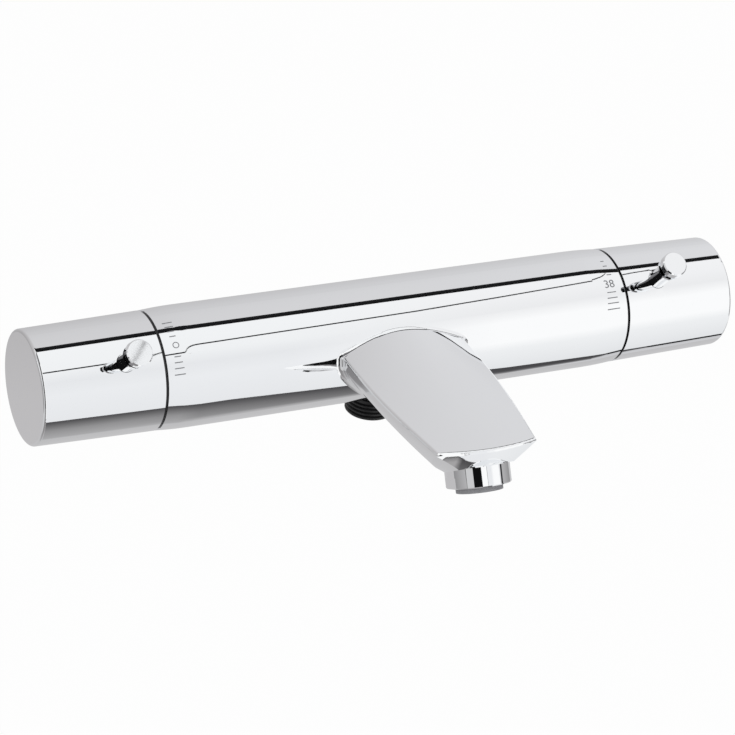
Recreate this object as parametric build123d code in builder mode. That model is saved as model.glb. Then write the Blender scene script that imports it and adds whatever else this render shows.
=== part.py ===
"""Thermostatic bath mixer: a round bar with a handle at each end, a cast spout and a shower outlet.

The origin is on the wall side, midway between the two inlet unions, where the pipe ends meet the
mixer. X runs along the bar towards the temperature handle, Y points into the wall, Z points up.
"""

import math
import os

from build123d import *

# Bar of the cast body
body_radius = 25.0
flow_seam_x = 103.3
temp_seam_x = 106.7
seam_step = 0.6
seam_gap = 1.2
end_curve = 14.0
mouth_wall = 2.2
mouth_depth = 8.0
mouth_step = 3.2

# Water ways inside the body
duct_radius = 4.4
duct_circle = 8.0
hot_duct_radius = 4.5
hot_duct_wall = 2.0
hot_duct_angle = 210.0

# Inlets on the wall side
inlet_spacing = 150.0
boss_radius = 13.8
boss_inset = 0.2
boss_standout = 2.0
boss_fillet = 2.0
inlet_bore_start = 15.0
nipple_thread_radius = 12.0
nipple_thread_length = 7.6
nipple_neck_radius = 10.5
nipple_bore_radius = 8.0
nipple_collar_radius = 11.8
nipple_collar = 2.0
inlet_o_ring_section = 1.6
nut_across_flats = 30.0
nut_gap = 0.8
nut_length = 13.2
nut_back_wall = 2.4
nut_thread_radius = 12.06
nut_thread_length = 6.8
nut_relief_radius = 12.6
nut_chamfer = 1.2
strainer_flange = 0.5
strainer_depth = 3.3
strainer_wall = 0.6
strainer_hole_radius = 0.8
strainer_hole_circle = 2.6
gasket_thickness = 1.4

# Check valves, one in each inlet and one in the shower outlet
valve_length = 8.5
valve_wall = 1.5
valve_seat_radius = 4.2
valve_seat = 2.0
valve_guide = 1.5
valve_window_radius = 1.3
poppet_radius = 5.3
poppet_thickness = 1.5
poppet_stem_radius = 1.5
valve_spring_radius = 3.0
valve_spring_wire = 0.8
valve_stop = 1.0

# Shower outlet with a G 1/2 male thread, heights below the bar's axis
outlet_reach = 34.4
outlet_shoulder_height = 20.3
outlet_spigot_length = 5.0
outlet_chamber = 4.0
outlet_thread_gap = 0.3
outlet_thread_radius = 10.478
outlet_thread_pitch = 1.814
outlet_thread_depth = 0.9
outlet_crest = 0.5
outlet_rim_chamfer = 0.4
outlet_spigot_radius = 8.9
outlet_bore_radius = 7.4
outlet_o_ring_section = 1.2

# Spout sections: distance in front of the bar's axis, half width, height of the widest place,
# lowest place, fullness of the bowl (0.55 is an ellipse), top edge and middle of the crowned top
spout_reach = 104.4
spout_root = (0.48 * body_radius, 27.8, 4.8, -19.5, 0.50, 9.2, 16.3)
spout_neck = (34.0, 27.7, 4.8, -17.6, 0.28, 8.2, 12.9)
spout_middle = (58.0, 27.0, 4.8, -15.9, 0.30, 7.6, 10.4)
spout_waist = (78.0, 25.0, 4.8, -15.4, 0.34, 7.2, 8.9)
spout_throat = (95.0, 22.6, 4.8, -15.2, 0.34, 6.8, 7.8)
spout_end = (spout_reach + 7.6, 20.0, 4.8, -15.0, 0.34, 6.4, 7.1)
spout_wall = 3.4
spout_tip_bow = 64.0
spout_tip_bow_height = 13.7
spout_edge_fillet = 1.2
tip_flare_radius = 13.6
tip_flare_angle = 54.6
tip_flare_height = 9.5
spout_root_fillet = 2.5
water_way_start = 14.0

# Aerator at the spout's tip
aerator_setback = 9.8
aerator_height = -6.5
aerator_tilt = 29.0
underside_tilt = 35.0
aerator_radius = 13.0
aerator_exposed = 7.0
aerator_recess = 1.5
aerator_rim = 0.4
aerator_flats = 24.4
aerator_flat_height = 4.4
aerator_thread_radius = 10.9
aerator_thread_length = 4.4
aerator_bore_radius = 9.5
insert_protrusion = 2.3
insert_rim = 1.5
insert_grid = 1.6
insert_recess = 1.0
insert_hole_radius = 0.75
insert_hole_pitch = 2.1
washer_thickness = 1.0

# Thermostat, lengths from the floor of its bore
thermostat_bore_depth = 62.0
cartridge_length = 44.0
cartridge_wall = 3.2
cartridge_floor = 3.0
cartridge_outlet_radius = 9.0
port_radius = 2.6
port_count = 8
port_channel = 1.2
hot_port_place = 6.5
inner_seal_place = 14.0
outer_seal_place = 40.0
o_ring_section = 2.0
spool_start = 12.0
spool_length = 12.0
spool_wall = 2.6
element_start = 16.0
element_flange = 3.0
element_hole_share = 0.29
element_hole_place = 0.45
element_body_radius = 7.5
element_body_length = 10.0
element_pin_radius = 2.5
element_pin_length = 13.0
return_spring_gap = 0.4
overload_spring_radius = 7.0
spring_wire = 1.6
adjuster_lead_in = 0.9
adjuster_length = 10.0
adjuster_floor = 2.5
retainer_length = 13.9
retainer_pocket = 3.7
retainer_key_radius = 1.6
retainer_key_circle = 14.0

# Spindles, lengths from the seam outwards
screw_thread_radius = 5.0
journal_radius = 6.0
flow_journal_radius = 5.5
spindle_collar_radius = 8.4
spindle_collar = 3.0
spindle_seal_section = 1.5
spindle_seal_place = 6.0
spline_radius = 5.2
spline_inner = 2.7
spline_outer = 17.3
spline_count = 12
spline_depth = 0.6

# Handles and the carriers inside them, lengths from the seam outwards
handle_length = 50.8
handle_taper = 0.9
handle_wall = 2.1
handle_end_wall = 3.5
handle_edge = 1.2
carrier_start = 1.8
carrier_length = 31.0
carrier_rim = 3.6
carrier_web = 4.2
carrier_hub_radius = 9.0
carrier_screw_wall = 2.5
carrier_boss_radius = 6.2
screw_radius = 2.0
screw_length = 12.0
screw_head_radius = 3.8
screw_head = 2.4
screw_socket_flats = 3.0
screw_socket_depth = 1.6

# Grip pins with their buttons, heights measured from the bar's axis
peg_offset = 16.1
flow_peg_angle = 42.0
temp_peg_angle = 50.0
peg_bottom = 10.5
peg_seat_depth = 0.6
peg_thread_radius = 3.3
peg_radius = 3.75
peg_collar_radius = 5.0
peg_collar = 1.0
peg_neck_radius = 3.3
peg_neck = 0.9
button_standout = 17.4
button_radius = 5.4
button_cap = 3.7
button_edge = 0.45
button_travel = 1.6
button_spigot_radius = 2.4
button_spigot = 6.0
plunger_radius = 1.3
button_spring_length = 4.5
button_spring_wire = 0.5

# Flow valve, lengths from the floor of its bore
flow_bore_radius = 13.0
flow_bore_depth = 37.0
flow_mouth_depth = 10.0
flow_seal_thickness = 2.0
disc_thickness = 3.5
disc_radius = 10.4
disc_port_radius = 2.4
disc_port_circle = 5.8
disc_channel = 1.8
disc_channel_radius = 4.6
driver_thickness = 3.0
driver_radius = 9.0
headpart_wall = 2.2
headpart_start = 0.5
headpart_flange = 6.0
headpart_flats = 30.0
headpart_seal_place = 14.5

# Rings at the two seams
seam_ring_lip_inset = 0.7
seam_ring_wall = 1.5
seam_ring_depth = 6.5
stop_ring_thickness = 3.4
stop_ring_inner = 10.0
stop_ring_outer = 17.0
stop_lug_radius = 1.8
stop_lug_circle = 13.5
stop_lug_height = 1.8
flow_turn_down = 36.0
flow_turn_up = 54.0
temp_turn_down = 35.0
temp_turn_up = 100.0

# Clearances between pieces
running = 0.08
fitting = 0.10
moving_gap = 0.30
edge_match = 0.01

# Places worked out from the sizes above
seam_radius = body_radius - seam_step
mouth_radius = seam_radius - mouth_wall
valve_bore_radius = mouth_radius - mouth_step
boss_reach = body_radius + boss_standout
nut_start = boss_reach + nut_gap
axis_to_wall = nut_start + nut_length
axis_y = -axis_to_wall
axis_z = body_radius - boss_radius - boss_inset
hot_duct_offset = body_radius - hot_duct_radius - hot_duct_wall
handle_end_radius = seam_radius - handle_taper
handle_inner_radius = handle_end_radius - handle_wall
peg_shoulder = handle_inner_radius - peg_seat_depth
button_reach = body_radius + button_standout
seam_ring_lip = seam_radius - seam_ring_lip_inset
flow_end = flow_seam_x - seam_gap / 2
temp_end = temp_seam_x - seam_gap / 2
thermostat_floor = temp_end - thermostat_bore_depth
flow_floor = flow_end - flow_bore_depth
inlet_x = inlet_spacing / 2
port_floor = boss_reach - nipple_thread_length
cartridge_radius = valve_bore_radius - fitting
cartridge_bore = cartridge_radius - cartridge_wall
cartridge_end = thermostat_floor + cartridge_length
retainer_end = cartridge_end + retainer_length
headpart_radius = flow_bore_radius - fitting
headpart_end = flow_end - flow_mouth_depth + headpart_flange
outlet_spigot_top = outlet_shoulder_height - outlet_spigot_length
outlet_port_top = outlet_spigot_top - outlet_chamber

os.makedirs("parts", exist_ok=True)


def raised(angle):
    """Direction to the front of the bar, raised by an angle in degrees."""
    return (0, -math.cos(math.radians(angle)), math.sin(math.radians(angle)))


# Each line's first direction runs along the turning axis of the pieces placed on it
temp_line = Plane(origin=(0, axis_y, axis_z), x_dir=(1, 0, 0), z_dir=(0, -1, 0))
flow_line = Plane(origin=(0, axis_y, axis_z), x_dir=(-1, 0, 0), z_dir=(0, 1, 0))
hot_line = Plane(origin=(-inlet_x, axis_y, 0), x_dir=(0, 1, 0), z_dir=(1, 0, 0))
cold_line = Plane(origin=(inlet_x, axis_y, 0), x_dir=(0, 1, 0), z_dir=(1, 0, 0))
outlet_line = Plane(origin=(0, axis_y, axis_z), x_dir=(0, 0, -1), z_dir=(0, 1, 0))
aerator_line = Plane(
    origin=(0, axis_y + aerator_setback - spout_reach, axis_z + aerator_height),
    x_dir=raised(aerator_tilt - 90),
    z_dir=(1, 0, 0),
)


def across(line, distance):
    """Plane square to a line at a distance along it, facing along the line."""
    place = line.from_local_coords((distance, 0, 0))
    return Plane(origin=place, x_dir=line.z_dir, z_dir=line.x_dir)


def beside(line, circle, angle):
    """Line parallel to one of the bar's, on a circle around it at an angle above the front."""
    place = Vector(*raised(angle)) * circle
    return Plane(origin=line.origin + place, x_dir=line.x_dir, z_dir=line.z_dir)


def spoke(line, distance, angle):
    """Line from a place on the bar's axis outwards, at an angle above the front."""
    place = line.from_local_coords((distance, 0, 0))
    return Plane(origin=place, x_dir=raised(angle), z_dir=(1, 0, 0))


def turned(outline, line, mode=Mode.ADD):
    """Revolve a closed outline of (distance along the line, radius) points about that line."""
    with BuildSketch(line) as section:
        with BuildLine():
            Polyline(*outline, close=True)
        make_face()
    revolve(section.sketch, axis=Axis(line.origin, line.x_dir), mode=mode)


def drum(line, start, end, radius, mode=Mode.ADD):
    """Plain cylinder between two distances along a line."""
    turned([(start, 0), (end, 0), (end, radius), (start, radius)], line, mode)


def sleeve(line, start, end, inner, outer, mode=Mode.ADD):
    """Plain tube between two distances along a line."""
    turned([(start, inner), (end, inner), (end, outer), (start, outer)], line, mode)


def cord_ring(line, middle, radius, section, mode=Mode.ADD):
    """Ring of round section whose cord has its centre at a distance and a radius."""
    with BuildSketch(line) as cord:
        with Locations((middle, radius)):
            Circle(section / 2)
    revolve(cord.sketch, axis=Axis(line.origin, line.x_dir), mode=mode)


def prism(line, start, end, flats, mode=Mode.ADD):
    """Hexagonal bar between two distances along a line, by its width across the flats."""
    with BuildSketch(across(line, start)) as section:
        RegularPolygon(flats / 2, 6, major_radius=False)
    extrude(section.sketch, amount=end - start, mode=mode)


def keep(builder, label):
    """Name a finished piece and write it."""
    builder.part.label = label
    export_step(builder.part, f"parts/{label}.step")


def spout_section(station, wall=0.0):
    """Section of the spout square to its length: a bowl under a crowned top."""
    front, half_width, widest, lowest, fullness, edge, crown = station
    half = half_width - wall
    middle = widest - wall
    bottom = lowest + wall
    turn = middle - fullness * (middle - bottom)
    square = Plane(origin=(0, axis_y - front, axis_z), x_dir=(1, 0, 0), z_dir=(0, -1, 0))
    with BuildSketch(square) as section:
        with BuildLine():
            Bezier((-half, middle), (-half, turn), (-fullness * half, bottom), (0, bottom))
            Bezier((0, bottom), (fullness * half, bottom), (half, turn), (half, middle))
            Line((half, middle), (half, edge - wall))
            ThreePointArc((half, edge - wall), (0, crown - wall), (-half, edge - wall))
            Line((-half, edge - wall), (-half, middle))
        make_face()
    return section.sketch


spout_stations = (spout_root, spout_neck, spout_middle, spout_waist, spout_throat, spout_end)

underside = Plane(
    origin=aerator_line.origin, x_dir=(1, 0, 0), z_dir=raised(underside_tilt - 90)
)
aerator_thread_end = -aerator_recess - aerator_thread_length
socket_floor = aerator_thread_end - washer_thickness

# The tip's front is part of a ball, whose centre stands above the bar's axis
tip_bow_rise = spout_tip_bow_height - spout_end[6]
tip_bow_back = math.sqrt(spout_tip_bow**2 - tip_bow_rise**2)
tip_bow_centre = (0, axis_y - spout_reach + tip_bow_back, axis_z + spout_tip_bow_height)

# Outside of the spout, cut to its bowed front and to the sloping underside of its tip
with BuildPart() as spout_shell:
    loft([spout_section(station) for station in spout_stations])
    with Locations(tip_bow_centre):
        Sphere(spout_tip_bow, mode=Mode.INTERSECT)
    with BuildSketch(underside):
        Rectangle(4 * body_radius, 4 * body_radius)
    extrude(amount=2 * body_radius, mode=Mode.SUBTRACT)
    top_edges = spout_shell.edges().filter_by(
        lambda edge: edge.bounding_box().min.Z > axis_z + spout_root[2]
        and edge.length > spout_wall
        and edge.center().Y < axis_y - 2 * spout_root[0]
    )
    fillet(top_edges, spout_edge_fillet)

    # Below its top edge the tip narrows to the aerator, in a flare around the aerator's line
    front_half = Plane(
        origin=aerator_line.origin, x_dir=aerator_line.x_dir, z_dir=raised(aerator_tilt)
    )
    flare = tip_flare_height * math.tan(math.radians(tip_flare_angle))
    with BuildSketch(front_half) as below_flare:
        with BuildLine():
            Polyline(
                (tip_flare_height, tip_flare_radius - flare),
                (-tip_flare_height, tip_flare_radius + flare),
                (tip_flare_height, tip_flare_radius + flare),
                close=True,
            )
        make_face()
        mirror(about=Plane.XZ)
    turning = Axis(aerator_line.origin, aerator_line.x_dir)
    revolve(below_flare.sketch, axis=turning, revolution_arc=180, mode=Mode.SUBTRACT)
    extrude(below_flare.sketch, amount=-aerator_radius, mode=Mode.SUBTRACT)

# Water way of the spout, which follows its outside at an even wall
with BuildPart() as spout_way:
    loft([spout_section(station, spout_wall) for station in spout_stations])
    with Locations(tip_bow_centre):
        Sphere(spout_tip_bow - spout_wall, mode=Mode.INTERSECT)
    with BuildSketch(across(aerator_line, socket_floor)):
        Rectangle(4 * body_radius, 4 * body_radius)
    extrude(amount=2 * body_radius, mode=Mode.SUBTRACT)
    with Locations((0, axis_y, axis_z)):
        Box(4 * body_radius, 2 * water_way_start, 4 * body_radius, mode=Mode.SUBTRACT)

# Cast brass body: bar, spout, inlet bosses, bores and water ways in one piece
with BuildPart() as mixer_body:
    with BuildSketch(temp_line) as bar_half:
        with BuildLine():
            Line((end_curve - flow_end, body_radius), (temp_end - end_curve, body_radius))
            TangentArc((temp_end - end_curve, body_radius), (temp_end, seam_radius), tangent=(1, 0))
            Polyline((temp_end, seam_radius), (temp_end, 0), (-flow_end, 0), (-flow_end, seam_radius))
            TangentArc((end_curve - flow_end, body_radius), (-flow_end, seam_radius), tangent=(-1, 0))
        make_face()
    revolve(bar_half.sketch, axis=Axis(temp_line.origin, temp_line.x_dir))
    add(spout_shell.part)

    # The spout runs into the bar in a small hollow fillet
    root_edges = mixer_body.edges().filter_by(
        lambda edge: all(
            abs(math.hypot((edge @ t).Y - axis_y, (edge @ t).Z - axis_z) - body_radius) < edge_match
            and abs((edge @ t).X) < 1.5 * spout_root[1]
            for t in (0, 0.3, 0.7, 1)
        )
    )
    fillet(root_edges, spout_root_fillet)

    # Inlet bosses with a hollow fillet to the bar
    for line in (hot_line, cold_line):
        drum(line, 0, boss_reach, boss_radius)
    boss_edges = mixer_body.edges().filter_by(
        lambda edge: edge.geom_type != GeomType.CIRCLE
        and edge.bounding_box().min.Y > axis_y
        and edge.length > boss_radius
        and abs(abs(edge.center().X) - inlet_x) < boss_radius
    )
    fillet(boss_edges, boss_fillet)

    # Bores for the thermostat and the flow valve, wider at their mouths for the seam rings
    drum(temp_line, thermostat_floor, temp_end, valve_bore_radius, Mode.SUBTRACT)
    drum(temp_line, temp_end - mouth_depth, temp_end, mouth_radius, Mode.SUBTRACT)
    drum(flow_line, flow_floor, flow_end, flow_bore_radius, Mode.SUBTRACT)
    drum(flow_line, flow_end - flow_mouth_depth, flow_end, valve_bore_radius, Mode.SUBTRACT)
    drum(flow_line, flow_end - mouth_depth, flow_end, mouth_radius, Mode.SUBTRACT)

    # Mixed water runs behind the axis to the flow valve, and back to the spout or the outlet
    mixed_duct = beside(temp_line, duct_circle, 180)
    spout_duct = beside(flow_line, duct_circle, 60)
    shower_duct = beside(flow_line, duct_circle, -60)
    drum(mixed_duct, -flow_floor, thermostat_floor, duct_radius, Mode.SUBTRACT)
    drum(spout_duct, -duct_radius, flow_floor, duct_radius, Mode.SUBTRACT)
    drum(shower_duct, -duct_radius, flow_floor, duct_radius, Mode.SUBTRACT)
    spout_branch = Plane(origin=spout_duct.origin, x_dir=(0, -1, 0), z_dir=(1, 0, 0))
    drum(spout_branch, 0, water_way_start, duct_radius, Mode.SUBTRACT)
    shower_branch = Plane(origin=shower_duct.origin, x_dir=(0, 0, -1), z_dir=(1, 0, 0))
    drum(shower_branch, 0, outlet_port_top, duct_radius, Mode.SUBTRACT)

    # Hot water crosses behind the ducts to the far end of the thermostat's bore
    hot_duct = beside(temp_line, hot_duct_offset, hot_duct_angle)
    hot_duct_end = thermostat_floor + 2 * hot_duct_radius
    drum(hot_duct, -inlet_x, hot_duct_end, hot_duct_radius, Mode.SUBTRACT)

    # Inlet bores and the threaded ports of the nipples
    for line in (hot_line, cold_line):
        drum(line, inlet_bore_start, boss_reach, nipple_bore_radius, Mode.SUBTRACT)
        drum(line, port_floor, boss_reach, nipple_thread_radius, Mode.SUBTRACT)

    # Port of the shower outlet
    spigot_bore = outlet_spigot_radius + fitting
    drum(outlet_line, outlet_port_top, outlet_shoulder_height, spigot_bore, Mode.SUBTRACT)
    drum(outlet_line, outlet_shoulder_height, outlet_reach, outlet_thread_radius + fitting, Mode.SUBTRACT)

    # Spout's water way, the threaded socket of the aerator and the recess for its collar
    add(spout_way.part, mode=Mode.SUBTRACT)
    drum(aerator_line, socket_floor, 0, aerator_thread_radius + fitting, Mode.SUBTRACT)
    drum(aerator_line, -aerator_recess, aerator_exposed, aerator_radius + fitting, Mode.SUBTRACT)
keep(mixer_body, "mixer_body")

# Aerator: chromed housing with two spanner flats, screwed into the tip
with BuildPart() as aerator_housing:
    rim = aerator_radius - aerator_rim
    turned(
        [
            (aerator_thread_end, aerator_bore_radius),
            (aerator_exposed, aerator_bore_radius),
            (aerator_exposed, rim),
            (aerator_exposed - aerator_rim, aerator_radius),
            (aerator_rim - aerator_recess, aerator_radius),
            (-aerator_recess, rim),
            (-aerator_recess, aerator_thread_radius),
            (aerator_thread_end, aerator_thread_radius),
        ],
        aerator_line,
    )
    with BuildSketch(across(aerator_line, aerator_exposed)):
        with Locations((-aerator_flats, 0), (aerator_flats, 0)):
            Rectangle(aerator_flats, 2 * aerator_radius)
    extrude(amount=-aerator_flat_height, mode=Mode.SUBTRACT)
keep(aerator_housing, "aerator_housing")

# Plastic flow former inside the housing, with a grid of holes
with BuildPart() as aerator_insert:
    former_radius = aerator_bore_radius - fitting
    former_end = aerator_exposed + insert_protrusion
    grid_end = former_end - insert_recess
    sleeve(aerator_line, aerator_thread_end, former_end, former_radius - insert_rim, former_radius)
    drum(aerator_line, grid_end - insert_grid, grid_end, former_radius - insert_rim / 2)
    with BuildSketch(across(aerator_line, grid_end)):
        hole_rows = int(2 * former_radius / insert_hole_pitch)
        with HexLocations(insert_hole_pitch / 2, hole_rows, hole_rows) as grid:
            hole_places = [
                place
                for place in grid.local_locations
                if place.position.length < former_radius - insert_rim - insert_hole_radius
            ]
        with Locations(*hole_places):
            Circle(insert_hole_radius)
    extrude(amount=-insert_grid, mode=Mode.SUBTRACT)
keep(aerator_insert, "aerator_insert")

# Rubber washer at the bottom of the socket
with BuildPart() as aerator_washer:
    washer_inner = aerator_bore_radius - insert_rim
    sleeve(aerator_line, socket_floor, aerator_thread_end, washer_inner, aerator_thread_radius)
keep(aerator_washer, "aerator_washer")

# Shower outlet: black nipple whose male thread is drawn as rings
with BuildPart() as shower_outlet:
    thread_root = outlet_thread_radius - outlet_thread_depth
    thread_top = body_radius + outlet_thread_gap
    ring_count = int((outlet_reach - thread_top) / outlet_thread_pitch - 0.5)
    outline = [(outlet_spigot_top, outlet_bore_radius), (outlet_spigot_top, outlet_spigot_radius)]
    outline += [(outlet_shoulder_height, outlet_spigot_radius), (outlet_shoulder_height, thread_root)]
    outline += [(thread_top, thread_root), (thread_top, outlet_thread_radius)]
    for ring in range(ring_count, 0, -1):
        valley = outlet_reach - ring * outlet_thread_pitch
        flank = (outlet_thread_pitch - outlet_crest) / 2
        outline += [(valley - flank, outlet_thread_radius), (valley - outlet_crest / 4, thread_root)]
        outline += [(valley + outlet_crest / 4, thread_root), (valley + flank, outlet_thread_radius)]
    outline += [(outlet_reach - outlet_rim_chamfer, outlet_thread_radius)]
    outline += [(outlet_reach, outlet_thread_radius - outlet_rim_chamfer)]
    outline += [(outlet_reach, outlet_bore_radius)]
    turned(outline, outlet_line)
    groove = outlet_shoulder_height - outlet_o_ring_section
    seal_floor = outlet_spigot_radius - outlet_o_ring_section + fitting
    sleeve(outlet_line, groove - outlet_o_ring_section, groove, seal_floor, spigot_bore, Mode.SUBTRACT)
keep(shower_outlet, "shower_outlet")

with BuildPart() as outlet_o_ring:
    cord_ring(
        outlet_line,
        groove - outlet_o_ring_section / 2,
        seal_floor + outlet_o_ring_section / 2,
        outlet_o_ring_section,
    )
keep(outlet_o_ring, "outlet_o_ring")


def check_valve(name, line, inner_end, bore_radius, opens):
    """Cartridge with a seat and a guide, its poppet and spring; opens is +1 or -1 along the line."""
    seat_end = inner_end - opens * valve_length
    outer = bore_radius - fitting
    inner = outer - valve_wall
    seat_face = seat_end + opens * valve_seat
    guide_face = inner_end - opens * valve_guide
    with BuildPart() as valve_body:
        sleeve(line, seat_end, inner_end, inner, outer)
        sleeve(line, seat_end, seat_face, valve_seat_radius, inner + valve_wall / 2)
        drum(line, guide_face, inner_end, inner + valve_wall / 2)
        drum(line, guide_face, inner_end, poppet_stem_radius + running, Mode.SUBTRACT)
        with BuildSketch(across(line, guide_face)):
            with PolarLocations((inner + poppet_stem_radius) / 2, 6):
                Circle(valve_window_radius)
        extrude(amount=inner_end - guide_face, mode=Mode.SUBTRACT)
    keep(valve_body, f"{name}_check_valve")

    poppet_start = seat_face + opens * running
    poppet_face = poppet_start + opens * poppet_thickness
    with BuildPart() as poppet:
        drum(line, poppet_start, poppet_face, poppet_radius)
        drum(line, poppet_start, inner_end, poppet_stem_radius)
    keep(poppet, f"{name}_poppet")

    with BuildPart() as valve_spring:
        spring_inner = valve_spring_radius - valve_spring_wire / 2
        spring_outer = valve_spring_radius + valve_spring_wire / 2
        sleeve(line, poppet_face, guide_face, spring_inner, spring_outer)
    keep(valve_spring, f"{name}_valve_spring")


# Each inlet: a nipple screwed into the boss holds a loose union nut, a check valve and a strainer
collar_start = nut_start + nut_back_wall + running
collar_end = collar_start + nipple_collar
o_ring_end = boss_reach - inlet_o_ring_section / 2
o_ring_start = o_ring_end - inlet_o_ring_section
for name, line in (("hot", hot_line), ("cold", cold_line)):
    with BuildPart() as nipple:
        groove_floor = nipple_thread_radius - inlet_o_ring_section
        turned(
            [
                (port_floor, nipple_bore_radius - valve_stop),
                (port_floor + valve_stop, nipple_bore_radius - valve_stop),
                (port_floor + valve_stop, nipple_bore_radius),
                (collar_end, nipple_bore_radius),
                (collar_end, nipple_collar_radius),
                (collar_start, nipple_collar_radius),
                (collar_start, nipple_neck_radius),
                (boss_reach, nipple_neck_radius),
                (boss_reach, nipple_thread_radius),
                (o_ring_end, nipple_thread_radius),
                (o_ring_end, groove_floor),
                (o_ring_start, groove_floor),
                (o_ring_start, nipple_thread_radius),
                (port_floor, nipple_thread_radius),
            ],
            line,
        )
    keep(nipple, f"{name}_nipple")

    with BuildPart() as union_nut:
        prism(line, nut_start, axis_to_wall, nut_across_flats)
        nut_corner = nut_across_flats / math.sqrt(3)
        chamfer_end = nut_corner - nut_chamfer
        turned(
            [
                (nut_start, 0),
                (nut_start, chamfer_end),
                (nut_start + nut_chamfer, nut_corner),
                (axis_to_wall - nut_chamfer, nut_corner),
                (axis_to_wall, chamfer_end),
                (axis_to_wall, 0),
            ],
            line,
            Mode.INTERSECT,
        )
        drum(line, nut_start, axis_to_wall, nipple_neck_radius + running, Mode.SUBTRACT)
        thread_from = axis_to_wall - nut_thread_length
        drum(line, nut_start + nut_back_wall, axis_to_wall, nut_thread_radius, Mode.SUBTRACT)
        drum(line, nut_start + nut_back_wall, thread_from, nut_relief_radius, Mode.SUBTRACT)
    keep(union_nut, f"{name}_union_nut")

    with BuildPart() as strainer:
        basket_radius = nipple_bore_radius - fitting
        basket_floor = collar_end - strainer_depth
        flange_end = collar_end + strainer_flange
        sleeve(line, basket_floor, flange_end, basket_radius - strainer_wall, basket_radius)
        sleeve(line, collar_end, flange_end, basket_radius - strainer_wall, nipple_collar_radius)
        drum(line, basket_floor, basket_floor + strainer_wall, basket_radius)
        with BuildSketch(across(line, basket_floor)):
            Circle(strainer_hole_radius)
            for ring in (1, 2):
                with PolarLocations(ring * strainer_hole_circle, 6 * ring):
                    Circle(strainer_hole_radius)
        extrude(amount=strainer_wall, mode=Mode.SUBTRACT)
    keep(strainer, f"{name}_strainer")

    with BuildPart() as gasket:
        gasket_end = flange_end + gasket_thickness
        sleeve(line, flange_end, gasket_end, nipple_bore_radius, nipple_collar_radius)
    keep(gasket, f"{name}_gasket")

    check_valve(name, line, port_floor + valve_stop, nipple_bore_radius, -1)

with BuildPart() as inlet_o_rings:
    for line in (hot_line, cold_line):
        ring_radius = nipple_thread_radius - inlet_o_ring_section / 2
        cord_ring(line, (o_ring_start + o_ring_end) / 2, ring_radius, inlet_o_ring_section)
keep(inlet_o_rings, "inlet_o_rings")

check_valve("outlet", outlet_line, outlet_spigot_top + valve_stop + valve_length, outlet_bore_radius, 1)

# Thermostat housing: brass sleeve with ports for hot and cold water and two seal grooves
hot_port = thermostat_floor + hot_port_place
seal_places = (thermostat_floor + inner_seal_place, thermostat_floor + outer_seal_place)
seal_floor_radius = valve_bore_radius - o_ring_section
with BuildPart() as thermostat_housing:
    drum(temp_line, thermostat_floor, cartridge_end, cartridge_radius)
    bore_start = thermostat_floor + cartridge_floor
    drum(temp_line, bore_start, cartridge_end, cartridge_bore, Mode.SUBTRACT)
    drum(temp_line, thermostat_floor, bore_start, cartridge_outlet_radius, Mode.SUBTRACT)
    for place in seal_places:
        groove_start = place - o_ring_section / 2
        groove_end = place + o_ring_section / 2
        sleeve(temp_line, groove_start, groove_end, seal_floor_radius, valve_bore_radius, Mode.SUBTRACT)
    for place in (hot_port, inlet_x):
        channel = (place - port_radius, place + port_radius)
        channel_floor = cartridge_radius - port_channel
        sleeve(temp_line, *channel, channel_floor, valve_bore_radius, Mode.SUBTRACT)
        for turn in range(port_count):
            port = spoke(temp_line, place, turn * 360 / port_count)
            drum(port, cartridge_bore - fitting, valve_bore_radius, port_radius, Mode.SUBTRACT)
keep(thermostat_housing, "thermostat_housing")

with BuildPart() as thermostat_seals:
    for place in seal_places:
        cord_ring(temp_line, place, seal_floor_radius + o_ring_section / 2, o_ring_section)
keep(thermostat_seals, "thermostat_seals")

# Spool that opens one port as it closes the other
spool_radius = cartridge_bore - running
with BuildPart() as mixing_spool:
    spool_from = thermostat_floor + spool_start
    sleeve(temp_line, spool_from, spool_from + spool_length, spool_radius - spool_wall, spool_radius)
keep(mixing_spool, "mixing_spool")

# Wax element: sensing body in the mixed water, flange in the spool, piston towards the spindle
flange_from = thermostat_floor + element_start
flange_to = flange_from + element_flange
pin_end = flange_to + element_pin_length
# The flange's holes lie in the ring that the sensing body leaves free
flange_radius = spool_radius - spool_wall
flange_ring = flange_radius - element_body_radius
element_hole_radius = element_hole_share * flange_ring
element_hole_circle = element_body_radius + element_hole_place * flange_ring
with BuildPart() as wax_element:
    drum(temp_line, flange_from - element_body_length, flange_from, element_body_radius)
    drum(temp_line, flange_from, flange_to, flange_radius)
    drum(temp_line, flange_to, pin_end, element_pin_radius)
    for turn in range(port_count):
        hole = beside(temp_line, element_hole_circle, turn * 360 / port_count)
        drum(hole, flange_from, flange_to, element_hole_radius, Mode.SUBTRACT)
keep(wax_element, "wax_element")

with BuildPart() as return_spring:
    spring_outer = spool_radius - spool_wall - return_spring_gap
    sleeve(temp_line, bore_start, flange_from, spring_outer - spring_wire, spring_outer)
keep(return_spring, "return_spring")

with BuildPart() as overload_spring:
    spring_inner = overload_spring_radius - spring_wire / 2
    spring_outer = overload_spring_radius + spring_wire / 2
    sleeve(temp_line, flange_to, pin_end, spring_inner, spring_outer)
keep(overload_spring, "overload_spring")

# Nut that the spindle's thread moves along the bar
adjuster_end = pin_end + adjuster_length
with BuildPart() as adjusting_nut:
    drum(temp_line, pin_end, adjuster_end, spool_radius)
    thread_start = pin_end + adjuster_floor
    drum(temp_line, thread_start, adjuster_end, screw_thread_radius + running, Mode.SUBTRACT)
keep(adjusting_nut, "adjusting_nut")


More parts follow.
